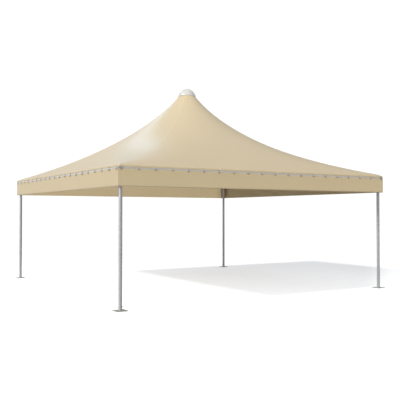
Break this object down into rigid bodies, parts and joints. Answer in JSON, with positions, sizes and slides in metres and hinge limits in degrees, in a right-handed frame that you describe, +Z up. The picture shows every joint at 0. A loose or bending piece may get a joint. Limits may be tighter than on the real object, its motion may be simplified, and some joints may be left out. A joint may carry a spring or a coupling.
{
  "type": "marquee tent",
  "caption": "Square marquee tent: a swept fabric roof rising to a capped peak, valances on all sides, pipe legs on base plates, and a mast carried by crossing roof cables.",
  "frame": {"origin": "ground level at the centre of the tent", "axes": "+Z up; -Y is the front side and -X the left side; the sides run along X and Y"},
  "size_m": [6.054, 6.054, 4.3693],
  "materials": {
    "galvanised_steel": "hot-dip galvanised, dull grey with a faint spangle",
    "coated_fabric": "sand coloured coated polyester with a satin sheen",
    "cap_plastic": "white moulded plastic, satin",
    "wire_rope": "galvanised strand, dull grey"
  },
  "bodies": {
    "root": {"base_plate_front_left": "galvanised_steel", "base_plate_front_right": "galvanised_steel", "base_plate_back_right": "galvanised_steel", "base_plate_back_left": "galvanised_steel", "leg_front_left": "galvanised_steel", "leg_front_right": "galvanised_steel", "leg_back_right": "galvanised_steel", "leg_back_left": "galvanised_steel", "corner_bracket_front_left": "galvanised_steel", "corner_bracket_front_right": "galvanised_steel", "corner_bracket_back_right": "galvanised_steel", "corner_bracket_back_left": "galvanised_steel", "eave_beam_front": "galvanised_steel", "eave_beam_right": "galvanised_steel", "eave_beam_back": "galvanised_steel", "eave_beam_left": "galvanised_steel", "lacing_rail_front": "galvanised_steel", "lacing_rail_right": "galvanised_steel", "lacing_rail_back": "galvanised_steel", "lacing_rail_left": "galvanised_steel", "valance_front": "coated_fabric", "valance_right": "coated_fabric", "valance_back": "coated_fabric", "valance_left": "coated_fabric", "roof_cable_front_left": "wire_rope", "roof_cable_front_right": "wire_rope", "roof_cable_back_right": "wire_rope", "roof_cable_back_left": "wire_rope", "turnbuckle_front_left": "galvanised_steel", "turnbuckle_front_right": "galvanised_steel", "turnbuckle_back_right": "galvanised_steel", "turnbuckle_back_left": "galvanised_steel", "mast_foot": "galvanised_steel", "mast": "galvanised_steel", "mast_head": "galvanised_steel", "roof_sheet": "coated_fabric", "top_cap": "cap_plastic"}
  },
  "joints": []
}
